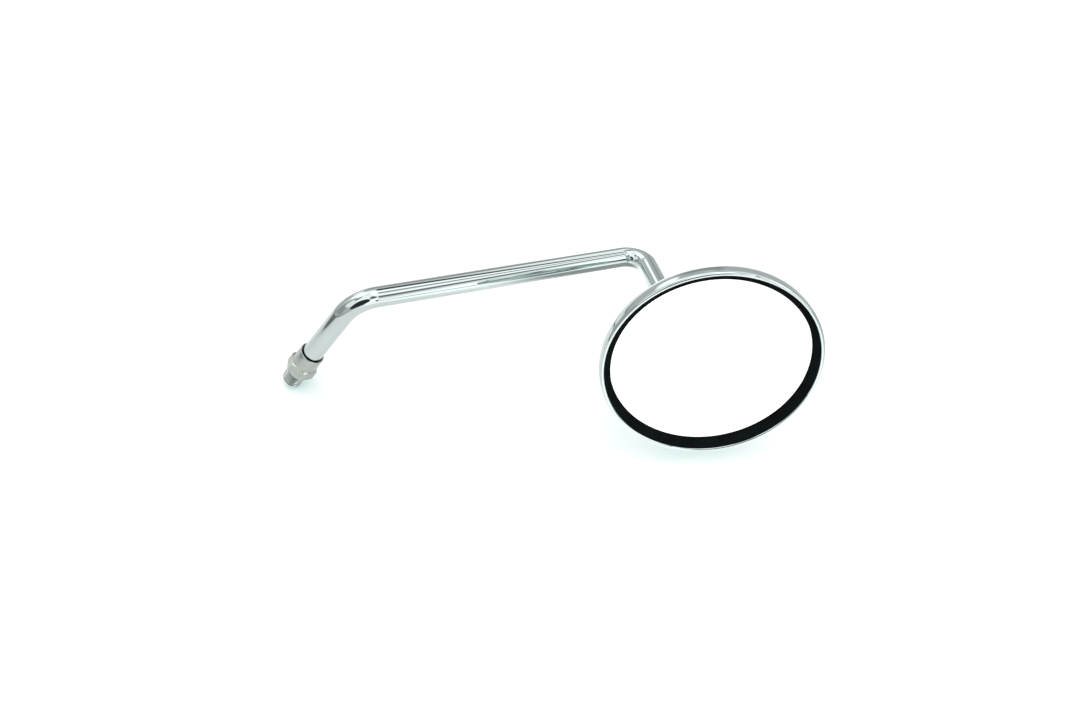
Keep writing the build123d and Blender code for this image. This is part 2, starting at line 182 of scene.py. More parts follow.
class MirrorHeadSizes(bpy.types.PropertyGroup):
    """Sizes of the shell, the rubber ring and the glass"""

    rim_diameter: length("Rim diameter", "Outside of the shell's rim", 102.0)
    sheet: length("Sheet", "Thickness of the pressed sheet", 0.8)
    lip_radius: length("Lip radius", "Outside radius of the rolled lip over its highest point", 0.85)
    lip_ease: length("Lip ease", "Radius of the lip's outer side, down to the wall", 1.7)
    lip_wrap: angle("Lip wrap", "How far the lip rolls in past its highest point", 65.0)
    wall_depth: length("Wall depth", "Depth of the straight wall behind the rim", 3.1)
    shoulder_radius: length("Shoulder radius", "Radius between the wall and the dome", 9.0)
    dome_radius: length("Dome radius", "Radius of the shell's back", 64.0)
    patch_angle: angle("Boss patch", "Half angle of the dome that the boss is drawn from", 26.0)
    ball_inset: length("Ball inset", "How far the ball sits inside the dome", 2.5)
    boss_radius: length("Boss radius", "Outside radius of the boss round the ball", 10.2)
    boss_blend: length("Boss blend", "Radius between the boss and the dome", 2.5)
    boss_opening: angle("Boss opening", "Half angle of the hole that the rod passes through", 50.9)
    seam_angle: angle("Boss seam", "Strip of dome that is turned with the boss", 3.0)
    yaw: angle("Yaw", "How far the glass faces inboard", 26.0)
    pitch: angle("Pitch", "How far the glass faces up", 11.0)
    glass_recess: length("Glass recess", "Depth of the glass behind the rim", 3.9)
    glass_thickness: length("Glass thickness", "Thickness of the glass", 2.0)
    glass_radius: length("Glass radius", "Radius of the cut glass", 47.6)
    glass_edge: length("Glass edge", "Ground edge of the glass", 0.3)
    rubber_gap: length("Rubber gap", "Room between the rubber and its neighbours", 0.05)
    rubber_overlap: length("Rubber overlap", "How far the rubber covers the glass", 1.7)
    rubber_edge: length("Rubber edge", "Height of the rubber's inner edge over the glass", 1.45)
    rubber_round: length("Rubber round", "Rounding of the rubber's inner edge", 0.2)
    rubber_shoulder: length("Rubber shoulder", "Depth at which the rubber meets the wall", 1.6)
    rubber_back_lip: length("Rubber back lip", "Thickness of the rubber behind the glass", 1.2)
    rubber_back_width: length("Rubber back width", "Width of the rubber behind the glass", 2.0)


class MirrorFinishes(bpy.types.PropertyGroup):
    """Colours of the finishes"""

    chrome: colour("Chrome", "Bright plating of the stem and shell", 0.62, 0.70, 0.69)
    # Colour of the painted shade that darkens the roots of the thread.
    grime: colour("Grime", "Painted shade in the roots of the thread", 0.05, 0.05, 0.05)
    nickel: colour("Nickel", "Dull plating of the lock nut", 0.50, 0.54, 0.50)
    rubber: colour("Rubber", "Rubber ring round the glass", 0.006, 0.008, 0.008)
    silvering: colour("Silvering", "Reflection of the glass", 0.96, 0.97, 0.97)
    ball_steel: colour("Ball steel", "Bare steel of the ball", 0.56, 0.56, 0.57)
    zinc: colour("Zinc", "Plating of the clamp and its fasteners", 0.60, 0.61, 0.63)
    nylon: colour("Nylon", "Friction cups", 0.72, 0.70, 0.64)
    card: colour("Card", "Packing behind the glass", 0.30, 0.20, 0.12)


class MirrorStage(bpy.types.PropertyGroup):
    """Camera, floor and light"""

    camera_place: bpy.props.FloatVectorProperty(
        name="Camera place",
        description="Where the camera stands",
        default=(-0.37878, -0.35548, 0.51996),
        subtype="TRANSLATION",
        unit="LENGTH",
        precision=5,
    )
    camera_back: direction(
        "Camera back", "Direction from the object to the camera", (-0.6444, -0.4394, 0.6258)
    )
    camera_right: direction(
        "Camera right", "Direction of the image's right side", (0.7644, -0.3469, 0.5435)
    )
    focal_length: bpy.props.FloatProperty(
        name="Focal length", description="Focal length in millimetres", default=50.0, unit="CAMERA"
    )
    look_down: angle("Look down", "How far the camera looks down on the floor", 47.3)
    floor_drop: length("Floor drop", "Room under the head, for it to move in", 8.0)
    floor_size: length("Floor size", "Half width of the floor", 1500.0)
    floor_colour: colour("Floor", "Share of the floor's white that shadows take away", 0.95, 0.66, 0.68)
    floor_white: amount("Floor white", "White of the floor where nothing shades it", 1.14)
    key_strength: amount("Key strength", "Strength of the soft overhead lamp", 0.4)
    key_spread: angle("Key spread", "Width of the soft overhead lamp", 70.0)
    studio_strength: amount("Studio strength", "Strength of the white studio", 0.95)


def only(parts, kind):
    """Those parts of a mesh that are of one kind."""
    return [part for part in parts if isinstance(part, kind)]


def start_at(bm, radius, level):
    """First point of a section, with its radius along X and its level along Z."""
    return bm.verts.new((radius, 0.0, level))


def line_to(bm, vert, *points):
    """Straight sides of a section, from point to point."""
    for radius, level in points:
        vert = bmesh.ops.extrude_vert_indiv(bm, verts=[vert])["verts"][0]
        vert.co = (radius, 0.0, level)
    return vert


def arc_about(bm, vert, radius, level, sweep, steps):
    """Round side of a section; a positive sweep turns from the radius towards the axis."""
    made = bmesh.ops.spin(
        bm, geom=[vert], cent=(radius, 0.0, level), axis=(0.0, -1.0, 0.0), angle=sweep, steps=steps
    )
    return only(made["geom_last"], BMVert)[0]


def rounded_corner(bm, vert, corner, after, radius, steps):
    """Straight side up to a corner, and the corner's rounding towards the next point."""
    corner = Vector(corner)
    come = (corner - Vector((vert.co.x, vert.co.z))).normalized()
    leave = (Vector(after) - corner).normalized()
    turn = atan2(come.x * leave.y - come.y * leave.x, come.dot(leave))
    start = corner - come * (radius * abs(tan(turn / 2)))
    side = 1.0 if turn > 0 else -1.0
    centre = start + Vector((-come.y, come.x)) * (radius * side)
    vert = line_to(bm, vert, start)
    return arc_about(bm, vert, centre.x, centre.y, turn, steps)


def turn_section(bm, steps):
    """Turns the drawn section once round Z."""
    bmesh.ops.remove_doubles(bm, verts=bm.verts[:], dist=MERGE)
    bmesh.ops.spin(
        bm,
        geom=bm.verts[:] + bm.edges[:],
        cent=(0.0, 0.0, 0.0),
        axis=(0.0, 0.0, 1.0),
        angle=2 * pi,
        steps=steps,
        use_merge=True,
    )
    bmesh.ops.remove_doubles(bm, verts=bm.verts[:], dist=MERGE)
    bmesh.ops.recalc_face_normals(bm, faces=bm.faces[:])


def push_loop(bm, edges, shift):
    """Carries an open loop along in a straight line."""
    made = bmesh.ops.extrude_edge_only(bm, edges=edges)["geom"]
    bmesh.ops.translate(bm, verts=only(made, BMVert), vec=shift)
    return only(made, BMEdge)


def swell_loop(bm, edges, centre, factor):
    """Steps an open loop in or out round its centre."""
    made = bmesh.ops.extrude_edge_only(bm, edges=edges)["geom"]
    bmesh.ops.scale(bm, verts=only(made, BMVert), vec=(factor,) * 3, space=Matrix.Translation(-centre))
    return only(made, BMEdge)


def bend_loop(bm, edges, centre, axis, sweep, steps):
    """Carries an open loop round a bend."""
    verts = list(dict.fromkeys(vert for edge in edges for vert in edge.verts))
    made = bmesh.ops.spin(bm, geom=edges + verts, cent=centre, axis=axis, angle=sweep, steps=steps)
    return only(made["geom_last"], BMEdge)


def cut_off(bm, point, out):
    """Cuts away what lies beyond a plane and closes the cut."""
    made = bmesh.ops.bisect_plane(
        bm, geom=bm.verts[:] + bm.edges[:] + bm.faces[:], plane_co=point, plane_no=out, clear_outer=True
    )
    bmesh.ops.edgeloop_fill(bm, edges=only(made["geom_cut"], BMEdge))


def axis_matrix(origin, axis):
    """Frame of a round part: Z along its axis and X level."""
    side = UP.cross(axis).normalized()
    matrix = Matrix((side, axis.cross(side), axis)).transposed().to_4x4()
    matrix.translation = origin
    return matrix


def face_normal(head):
    """Direction that the glass looks in."""
    level = cos(head.pitch)
    return Vector((-sin(head.yaw) * level, -cos(head.yaw) * level, sin(head.pitch))).normalized()


def head_places(head):
    """Centre of the dome, centre of the rim and the height from the rim's plane to the dome's centre."""
    shoulder = head.rim_diameter / 2 - head.shoulder_radius
    height = sqrt((head.dome_radius - head.shoulder_radius) ** 2 - shoulder**2) - head.wall_depth
    dome = BALL_CENTRE + LEG * (head.dome_radius - head.sheet - head.ball_inset)
    return dome, dome - face_normal(head) * height, height


def lip_places(head):
    """Centre line of the lip's roll, and the radius and level of its inner edge."""
    inset = head.lip_radius * cos(pi / 4) + head.lip_ease * (1 - cos(pi / 4))
    centre = head.rim_diameter / 2 - inset
    edge = centre + head.lip_radius * cos(pi / 2 + head.lip_wrap)
    return centre, edge, head.lip_radius * (sin(pi / 2 + head.lip_wrap) - 1)


def face_matrix(head):
    return axis_matrix(head_places(head)[1], face_normal(head))


def place_piece(bm, name, node, body, material, crease):
    """Makes the finished mesh an object that rides on a body and stands for its CAD node."""
    mesh = bpy.data.meshes.new(name)
    bm.to_mesh(mesh)
    bm.free()
    mesh.shade_smooth()
    mesh.set_sharp_from_angle(angle=radians(crease))
    mesh.materials.append(material)
    piece = bpy.data.objects.new(name, mesh)
    bpy.context.scene.collection.objects.link(piece)
    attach(piece, body)
    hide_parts(node)
    return piece


def add_node(tree, kind, **settings):
    node = tree.nodes.new(kind)
    for name, value in settings.items():
        setattr(node, name, value)
    return node


def feed(tree, socket, value):
    """Links another socket to this one, or gives it a plain value."""
    if isinstance(value, bpy.types.NodeSocket):
        tree.links.new(value, socket)
    else:
        socket.default_value = value


def fed_node(tree, kind, *values, **settings):
    """Adds a node, feeds its sockets in their order and gives back what it puts out."""
    node = add_node(tree, kind, **settings)
    for socket, value in zip(node.inputs, values):
        feed(tree, socket, value)
    return node.outputs


def calculate(tree, operation, *values, clamp=False):
    """One step of arithmetic on sockets and numbers."""
    return fed_node(tree, "ShaderNodeMath", *values, operation=operation, use_clamp=clamp)[0]


def vector_step(tree, operation, *values):
    """One step of arithmetic on vectors."""
    return fed_node(tree, "ShaderNodeVectorMath", *values, operation=operation)


def fade(tree, value, start, end, low=0.0, high=1.0, kind="SMOOTHSTEP"):
    """Takes a value from one level to another between two limits."""
    return fed_node(tree, "ShaderNodeMapRange", value, start, end, low, high, interpolation_type=kind)[0]


def pick_colour(tree, switch, first, second):
    """Mixes two colours by a switch or a mask."""
    node = add_node(tree, "ShaderNodeMix", data_type="RGBA")
    feed(tree, node.inputs[0], switch)
    feed(tree, node.inputs[COLOUR_A], first)
    feed(tree, node.inputs[COLOUR_B], second)
    return node.outputs[COLOUR_OUT]


def new_group(name, inputs, outputs):
    """Empty shader group, the sockets to read from and those to feed."""
    group = bpy.data.node_groups.new(name, "ShaderNodeTree")
    for labels, side in ((inputs, "INPUT"), (outputs, "OUTPUT")):
        for label in labels:
            kind = "NodeSocketVector" if label in VECTOR_SOCKETS else "NodeSocketFloat"
            group.interface.new_socket(label, in_out=side, socket_type=kind)
    return group, add_node(group, "NodeGroupInput").outputs, add_node(group, "NodeGroupOutput").inputs


def feed_named(tree, node, **values):
    """Feeds the sockets of a node by their names and gives back what it puts out."""
    for name, value in values.items():
        feed(tree, node.inputs[name], value)
    return node.outputs


def noise(tree, vector, scale, detail, roughness):
    """Grey value of a cloudy noise."""
    node = add_node(tree, "ShaderNodeTexNoise")
    return feed_named(tree, node, Vector=vector, Scale=scale, Detail=detail, Roughness=roughness)[0]


def plating_haze():
    """Cloudy patches of handling haze over a clean plated or polished surface."""
    name = "Plating Haze"
    if name in bpy.data.node_groups:
        return bpy.data.node_groups[name]
    group, given, result = new_group(name, ("Vector", "Scale", "Clean", "Hazed"), ("Mask", "Roughness"))
    cloud = noise(group, given["Vector"], given["Scale"], detail=5.0, roughness=0.6)
    mask = fade(group, cloud, *HAZE_RANGE, kind="LINEAR")
    rough = fade(group, mask, 0.0, 1.0, given["Clean"], given["Hazed"], "LINEAR")
    feed(group, result["Mask"], mask)
    feed(group, result["Roughness"], rough)
    return group


def fine_relief():
    """Small uneven height of a moulded, rolled or polished surface, stretched by its lay."""
    name = "Fine Relief"
    if name in bpy.data.node_groups:
        return bpy.data.node_groups[name]
    group, given, result = new_group(name, ("Vector", "Lay", "Scale"), ("Height",))
    stretched = vector_step(group, "MULTIPLY", given["Vector"], given["Lay"])["Vector"]
    feed(group, result["Height"], noise(group, stretched, given["Scale"], detail=4.0, roughness=0.65))
    return group


def finish_material(name):
    """Finish with hazed patches, uneven roughness and fine relief."""
    tint, haze, metal, patches, clean, rough, grain, depth, lay = FINISHES[name]
    base = getattr(bpy.context.scene.mirror_finishes, tint)
    material = bpy.data.materials.new(name)
    material.use_nodes = True
    tree = material.node_tree
    shader = tree.nodes["Principled BSDF"].inputs
    shader["Metallic"].default_value = metal
    place = add_node(tree, "ShaderNodeTexCoord").outputs["Object"]
    hazed = tuple(part * haze for part in base)
    patch = fed_node(tree, "ShaderNodeGroup", place, patches, clean, rough, node_tree=plating_haze())
    relief = fed_node(tree, "ShaderNodeGroup", place, lay, grain, node_tree=fine_relief())["Height"]
    bump = feed_named(tree, add_node(tree, "ShaderNodeBump"), Strength=1.0, Distance=depth, Height=relief)
    feed(tree, shader["Base Color"], pick_colour(tree, patch["Mask"], (*base, 1.0), (*hazed, 1.0)))
    feed(tree, shader["Roughness"], patch["Roughness"])
    feed(tree, shader["Normal"], bump["Normal"])
    return material


def thread_root_shade():
    """Painted shade in the roots of the thread, none on the crests or above the thread."""
    group, given, result = new_group("Thread Grime", ("Vector", "Root", "Crest", "Top"), ("Mask",))
    flat = vector_step(group, "MULTIPLY", given["Vector"], (1.0, 1.0, 0.0))["Vector"]
    radius = vector_step(group, "LENGTH", flat)["Value"]
    deep = fade(group, radius, given["Root"], given["Crest"], 1.0, 0.0)
    height = fed_node(group, "ShaderNodeSeparateXYZ", given["Vector"])["Z"]
    below = calculate(group, "LESS_THAN", height, given["Top"])
    feed(group, result["Mask"], calculate(group, "MULTIPLY", deep, below))
    return group


def threaded_chrome():
    """Bright plating of the stem, with painted shade in the thread's roots."""
    stem = bpy.context.scene.mirror_stem
    material = finish_material("Threaded Chrome")
    tree = material.node_tree
    paint = tree.nodes["Principled BSDF"].inputs["Base Color"]
    plated = paint.links[0].from_socket
    root, crest = (stem.rod_diameter / 2 - share * stem.thread_pitch for share in ROOT_SHADE_DEPTHS)
    place = add_node(tree, "ShaderNodeTexCoord").outputs["Object"]
    grime = fed_node(tree, "ShaderNodeGroup", place, root, crest, ROOT_SHADE_TOP, node_tree=thread_root_shade())
    shade_colour = (*bpy.context.scene.mirror_finishes.grime, 1.0)
    # Painted shade: the roots of the thread turn dark.
    feed(tree, paint, pick_colour(tree, grime["Mask"], plated, shade_colour))
    return material


def black_rubber():
    """Matt rubber without a sheen, which would turn it grey where it is seen edge on."""
    material = finish_material("Black Rubber")
    material.node_tree.nodes["Principled BSDF"].inputs["Specular IOR Level"].default_value = 0.0
    return material


class MIRROR_OT_stem(bpy.types.Operator):
    """Make the bent rod with its rolled thread and the spigot for the ball"""

    bl_idname = "round_mirror.stem"
    bl_label = "Bent stem"

    def execute(self, context):
        stem = context.scene.mirror_stem
        bm = bmesh.new()
        self.roll_thread(bm, stem)
        self.bend_rod(bm, stem)
        bmesh.ops.recalc_face_normals(bm, faces=bm.faces[:])
        place_piece(bm, "bent_stem", "stem", "stem", threaded_chrome(), crease=32)
        return {"FINISHED"}

    def roll_thread(self, bm, stem):
        """Thread below the nut: a rounded ridge carried up round the axis, cut square and chamfered."""
        crest = stem.rod_diameter / 2
        pitch = stem.thread_pitch
        depth = THREAD_DEPTH * pitch
        tip = -stem.thread_exposed
        turns = int(stem.thread_exposed / pitch) + 3
        vert = start_at(bm, crest - depth, tip - 1.5 * pitch)
        for share, rise in THREAD_RIDGE:
            vert = line_to(bm, vert, (crest - depth * share, vert.co.z + pitch * rise))
        line_to(bm, vert, (crest - depth, tip - 0.5 * pitch))
        bmesh.ops.spin(
            bm,
            geom=bm.verts[:] + bm.edges[:],
            cent=(0.0, 0.0, 0.0),
            dvec=(0.0, 0.0, pitch / THREAD_STEPS),
            axis=(0.0, 0.0, 1.0),
            angle=2 * pi * turns,
            steps=THREAD_STEPS * turns,
        )
        bmesh.ops.remove_doubles(bm, verts=bm.verts[:], dist=MERGE_TURNS)
        cut_off(bm, UP * tip, -UP)
        cut_off(bm, UP * THREAD_TOP, UP)
        for vert in bm.verts:
            limit = crest - stem.tip_chamfer + (vert.co.z - tip)
            radius = vert.co.xy.length
            if radius > limit:
                vert.co.xy *= limit / radius

    def bend_rod(self, bm, stem):
        """Plain rod from inside the nut's skirt round both bends to the riveted spigot."""
        radius = stem.rod_diameter / 2
        ball = stem.ball_diameter / 2
        neck = stem.neck_diameter / 2
        first = stem.bend_1_radius * tan(stem.bend_1_angle / 2)
        second = stem.bend_2_radius * tan(stem.bend_2_angle / 2)
        run = Vector((sin(stem.bend_1_angle), 0.0, cos(stem.bend_1_angle)))
        corner_1 = UP * stem.bend_1_height
        corner_2 = corner_1 + run * stem.long_run
        shoulder = BALL_CENTRE - LEG * sqrt(ball**2 - radius**2)
        rivet = stem.rivet_diameter / 2
        rivet_back = sqrt(ball**2 - rivet**2) - stem.rivet_height
        made = bmesh.ops.create_circle(bm, cap_ends=True, segments=ROD_STEPS, radius=neck)
        edges = list(dict.fromkeys(edge for vert in made["verts"] for edge in vert.link_edges))
        edges = push_loop(bm, edges, UP * stem.neck_top)
        edges = swell_loop(bm, edges, UP * stem.neck_top, radius / neck)
        edges = push_loop(bm, edges, UP * (stem.bend_1_height - first - stem.neck_top))
        centre_1 = corner_1 - UP * first + Vector((stem.bend_1_radius, 0.0, 0.0))
        edges = bend_loop(bm, edges, centre_1, (0.0, 1.0, 0.0), stem.bend_1_angle, steps=28)
        edges = push_loop(bm, edges, run * (stem.long_run - first - second))
        across = (LEG - run * LEG.dot(run)).normalized()
        centre_2 = corner_2 - run * second + across * stem.bend_2_radius
        edges = bend_loop(bm, edges, centre_2, run.cross(across), stem.bend_2_angle, steps=36)
        edges = push_loop(bm, edges, shoulder - corner_2 - LEG * second)
        edges = swell_loop(bm, edges, shoulder, stem.spigot_diameter / stem.rod_diameter)
        spigot_end = BALL_CENTRE + LEG * rivet_back
        edges = push_loop(bm, edges, spigot_end - shoulder)
        edges = swell_loop(bm, edges, spigot_end, stem.rivet_diameter / stem.spigot_diameter)
        edges = push_loop(bm, edges, LEG * stem.rivet_height)
        bmesh.ops.edgeloop_fill(bm, edges=edges)


class MIRROR_OT_lock_nut(bpy.types.Operator):
    """Turn the skirted nut and mill its six flats"""

    bl_idname = "round_mirror.lock_nut"
    bl_label = "Lock nut"

    def execute(self, context):
        nut = context.scene.mirror_nut
        face = nut.face_diameter / 2
        corner = nut.across_corners / 2
        skirt = nut.skirt_base / 2
        lip = nut.skirt_mouth / 2
        slope = tan(nut.chamfer_angle)
        shoulder = nut.back + nut.hex_height
        mouth = shoulder + nut.skirt_length
        inside = nut.skirt_bore / 2
        bore = nut.bore / 2
        floor = nut.back + nut.thread_length
        bm = bmesh.new()
        vert = start_at(bm, bore, nut.back)
        vert = line_to(
            bm,
            vert,
            (face, nut.back),
            (corner, nut.back + (corner - face) * slope),
            (corner, shoulder - (corner - skirt) * slope),
            (skirt, shoulder),
        )
        vert = rounded_corner(bm, vert, (lip, mouth), (inside, mouth), nut.lip_round, steps=6)
        line_to(
            bm,
            vert,
            (inside + nut.lip_round / 4, mouth),
            (inside, mouth - nut.lip_round / 4),
            (inside, floor),
            (bore, floor),
            (bore, nut.back),
        )
        turn_section(bm, NUT_STEPS)
        for side in range(6):
            turn = nut.turn + (side + 0.5) * pi / 3
            out = Vector((cos(turn), sin(turn), 0.0))
            cut_off(bm, out * nut.across_flats / 2, out)
        bmesh.ops.recalc_face_normals(bm, faces=bm.faces[:])
        nickel = finish_material("Dull Nickel")
        piece = place_piece(bm, "skirted_nut", "lock_nut", "lock_nut", nickel, crease=20)
        soften = piece.modifiers.new("Broken edges", "BEVEL")
        soften.width = nut.edge_break
        soften.segments = 2
        soften.limit_method = "ANGLE"
        soften.angle_limit = radians(18)
        return {"FINISHED"}


class MIRROR_OT_shell(bpy.types.Operator):
    """Press the chromed bowl with its rolled lip and the boss round the ball"""

    bl_idname = "round_mirror.shell"
    bl_label = "Shell"

    def execute(self, context):
        head = context.scene.mirror_head
        dome, rim, height = head_places(head)
        radius = head.rim_diameter / 2
        shoulder = radius - head.shoulder_radius
        shoulder_start = atan2(-head.wall_depth - height, shoulder)
        lip, lip_edge, lip_level = lip_places(head)
        ease_level = (head.lip_radius - head.lip_ease) * sin(pi / 4) - head.lip_radius
        bm = bmesh.new()
        vert = start_at(bm, lip_edge, lip_level)
        vert = arc_about(bm, vert, lip, -head.lip_radius, -pi / 4 - head.lip_wrap, steps=14)
        vert = arc_about(bm, vert, radius - head.lip_ease, ease_level, -pi / 4, steps=8)
        vert = line_to(bm, vert, (radius, -head.wall_depth))
        vert = arc_about(bm, vert, shoulder, -head.wall_depth, shoulder_start, steps=12)
        arc_about(bm, vert, 0.0, height, head.patch_angle - pi / 2 - shoulder_start, steps=10)
        turn_section(bm, HEAD_STEPS)
        bmesh.ops.transform(bm, matrix=face_matrix(head), verts=bm.verts[:])
        self.add_boss(bm, head)
        normal = face_normal(head)
        rings = [
            edge
            for edge in bm.edges
            if edge.is_boundary and all(self.on_seam(vert.co, dome, head) for vert in edge.verts)
        ]
        made = bmesh.ops.bridge_loops(bm, edges=rings)["edges"]
        made = bmesh.ops.subdivide_edges(bm, edges=made, cuts=7, use_grid_fill=True)["geom_inner"]
        for vert in only(made, BMVert):
            vert.co = dome + (vert.co - dome).normalized() * head.dome_radius
        bmesh.ops.remove_doubles(bm, verts=bm.verts[:], dist=MERGE)
        bmesh.ops.recalc_face_normals(bm, faces=bm.faces[:])
        outer = max(bm.faces, key=lambda part: (part.calc_center_median() - rim).cross(normal).length)
        if outer.normal.dot(outer.calc_center_median() - rim) < 0:
            bmesh.ops.reverse_faces(bm, faces=bm.faces[:])
        bmesh.ops.solidify(bm, geom=bm.faces[:], thickness=head.sheet)
        chrome = finish_material("Bright Chrome")
        place_piece(bm, "pressed_shell", "shell", "head", chrome, crease=35)
        return {"FINISHED"}

    def on_seam(self, point, dome, head):
        """True on the two rings where the boss's patch is let into the dome."""
        return abs((point - dome).length - head.dome_radius) < SEAM_ROOM

    def add_boss(self, bm, head):
        """Boss and its blend, turned round the ball's axis and added to the bowl."""
        reach = head.dome_radius - head.sheet - head.ball_inset
        to_ball = head.boss_radius + head.boss_blend
        to_dome = head.dome_radius + head.boss_blend
        axial = (reach**2 + to_ball**2 - to_dome**2) / (2 * reach)
        radial = sqrt(to_ball**2 - axial**2)
        blend_polar = atan2(radial, -axial)
        blend_start = atan2(-axial, -radial)
        blend_end = atan2(reach - axial, -radial)
        boss = bmesh.new()
        opening = head.boss_opening
        vert = start_at(boss, head.boss_radius * sin(opening), -head.boss_radius * cos(opening))
        vert = arc_about(boss, vert, 0.0, 0.0, blend_polar - opening, steps=8)
        vert = arc_about(boss, vert, radial, axial, blend_end - blend_start, steps=10)
        arc_about(boss, vert, 0.0, reach, head.seam_angle, steps=2)
        turn_section(boss, HEAD_STEPS)
        bmesh.ops.transform(boss, matrix=axis_matrix(BALL_CENTRE, LEG), verts=boss.verts[:])
        mesh = bpy.data.meshes.new("boss")
        boss.to_mesh(mesh)
        boss.free()
        bm.from_mesh(mesh)
        bpy.data.meshes.remove(mesh)


class MIRROR_OT_gasket(bpy.types.Operator):
    """Mould the rubber ring between the rolled lip and the glass"""

    bl_idname = "round_mirror.gasket"
    bl_label = "Rubber ring"

    def execute(self, context):
        head = context.scene.mirror_head
        radius = head.rim_diameter / 2
        shoulder = radius - head.shoulder_radius
        bend = head.shoulder_radius - head.sheet - head.rubber_gap
        outside = radius - head.sheet - head.rubber_gap
        lip_edge, lip_level = lip_places(head)[1:]
        lip_level -= head.rubber_gap
        front = -head.glass_recess
        back = front - head.glass_thickness
        end = back - head.rubber_back_lip
        groove = head.glass_radius + head.rubber_gap
        sight = head.glass_radius - head.rubber_overlap
        inner = head.glass_radius - head.rubber_back_width
        bm = bmesh.new()
        vert = start_at(bm, lip_edge, lip_level)
        vert = line_to(bm, vert, (outside, -head.rubber_shoulder), (outside, -head.wall_depth))
        sweep = asin((-end - head.wall_depth) / bend)
        vert = arc_about(bm, vert, shoulder, -head.wall_depth, -sweep, steps=8)
        vert = line_to(
            bm, vert, (inner, end), (inner, back), (groove, back), (groove, front), (sight, front)
        )
        corner = (sight, front + head.rubber_edge)
        vert = rounded_corner(bm, vert, corner, (lip_edge, lip_level), head.rubber_round, steps=6)
        line_to(bm, vert, (lip_edge, lip_level))
        turn_section(bm, HEAD_STEPS)
        bmesh.ops.transform(bm, matrix=face_matrix(head), verts=bm.verts[:])
        place_piece(bm, "rubber_ring", "gasket", "head", black_rubber(), crease=30)
        return {"FINISHED"}


class MIRROR_OT_glass(bpy.types.Operator):
    """Cut the round silvered glass and grind its edge"""

    bl_idname = "round_mirror.glass"
    bl_label = "Mirror glass"

    def execute(self, context):
        head = context.scene.mirror_head
        front = -head.glass_recess
        back = front - head.glass_thickness
        bm = bmesh.new()
        made = bmesh.ops.create_circle(bm, cap_ends=True, segments=HEAD_STEPS, radius=head.glass_radius)
        bmesh.ops.translate(bm, verts=made["verts"], vec=(0.0, 0.0, back))
        made = bmesh.ops.extrude_face_region(bm, geom=bm.faces[:], use_keep_orig=True)["geom"]
        bmesh.ops.translate(bm, verts=only(made, BMVert), vec=(0.0, 0.0, head.glass_thickness))
        edges = [edge for edge in bm.edges if abs(edge.verts[0].co.z - edge.verts[1].co.z) < MERGE]
        bmesh.ops.bevel(
            bm,
            geom=edges,
            offset=head.glass_edge,
            segments=2,
            profile=0.5,
            affect="EDGES",
            material=-1,
        )
        bmesh.ops.recalc_face_normals(bm, faces=bm.faces[:])
        bmesh.ops.transform(bm, matrix=face_matrix(head), verts=bm.verts[:])
        silver = finish_material("Silvered Glass")
        place_piece(bm, "silvered_plate", "mirror_glass", "head", silver, crease=15)
        return {"FINISHED"}


class MIRROR_OT_inner_parts(bpy.types.Operator):
    """Give the ball, the friction cups, the clamp and the packing their finishes"""

    bl_idname = "round_mirror.inner_parts"
    bl_label = "Inner parts"

    def execute(self, context):
        for name, nodes in INNER_PARTS.items():
            material = finish_material(name)
            for node in nodes:
                mesh = frame["nodes"][node].data
                mesh.materials.clear()
                mesh.materials.append(material)
        return {"FINISHED"}


# Brightness of the roof that the rod's long run shows, by the angle round the rod in degrees: three dark
# seams lie between the bright panels, from the back (40) over the top (90) to the open front (180).
STUDIO_BANDS = (
    (40, 1.00),
    (50, 0.90),
    (57, 0.55),
    (61, 0.10),
    (72, 0.06),
    (75, 0.50),
    (79, 1.50),
    (83, 1.75),
    (88, 1.65),
    (92, 1.00),
    (95, 0.30),
    (99, 0.30),
    (103, 1.00),
    (110, 1.50),
    (118, 1.60),
    (122, 0.90),
    (125, 0.16),
    (133, 0.18),
    (137, 0.70),
    (144, 1.05),
    (151, 1.30),
    (157, 1.65),
    (180, 1.75),
)

# Towards the far end of the rod the seams close in on the middle one: from the first slope along the rod
# to the second, in degrees, their spread goes from the first factor to the second.
SEAM_MIDDLE = 96.0
SEAM_SLOPES = (17.0, 27.5)
SEAM_SPREAD = (1.28, 0.29)

# Where the bands start, are full, begin to end and are gone: along the rod and round it, in degrees.
RUN_SLOPES = (10.0, 15.0, 27.0, 31.0)
RUN_TURNS = (44.0, 52.0, 158.0, 170.0)

# Brightness of the studio from the floor's level up to straight above, by the height in degrees.
STUDIO_RISE = ((0, 0.62), (18, 0.66), (31.5, 0.95), (45, 1.25), (63, 1.5), (90, 1.2))

# Walls and openings of the studio: brightness, azimuth of the middle (0 is away from the camera, 90 to
# its right) and half width, height of the middle above the floor and half height, corner radius and
# softness. Angles in degrees.
STUDIO_PANELS = (
    (0.62, 30, 85, 8, 14, 5, 8),
    (1.70, 137, 26, 10, 20, 5, 6),
    (0.42, -104, 22, 12, 17, 6, 7),
    (1.20, -128, 22, 40, 10, 6, 6),
    (0.48, -87, 8, 42, 16, 5, 5),
    (1.65, -46, 22, 57, 17, 10, 7),
    (0.40, -3, 9, 16, 12, 6, 6),
    (0.62, -8, 14, 36, 9, 6, 6),
    (1.35, 24, 10, 42, 7, 6, 8),
    (1.60, -29, 7, 21, 4, 4, 4),
    (1.65, 83, 40, 68, 10, 8, 8),
    (1.90, 103, 9, 28, 8, 4, 4),
    (2.20, 57, 34, 75, 6, 4, 4),
    (0.20, -116, 14, 65, 7, 6, 6),
    (0.20, 146, 8, 46, 11, 6, 5),
    (0.16, 143, 3, 4, 8, 3, 3),
    (0.035, -177, 24, 27, 21, 19, 4),
)
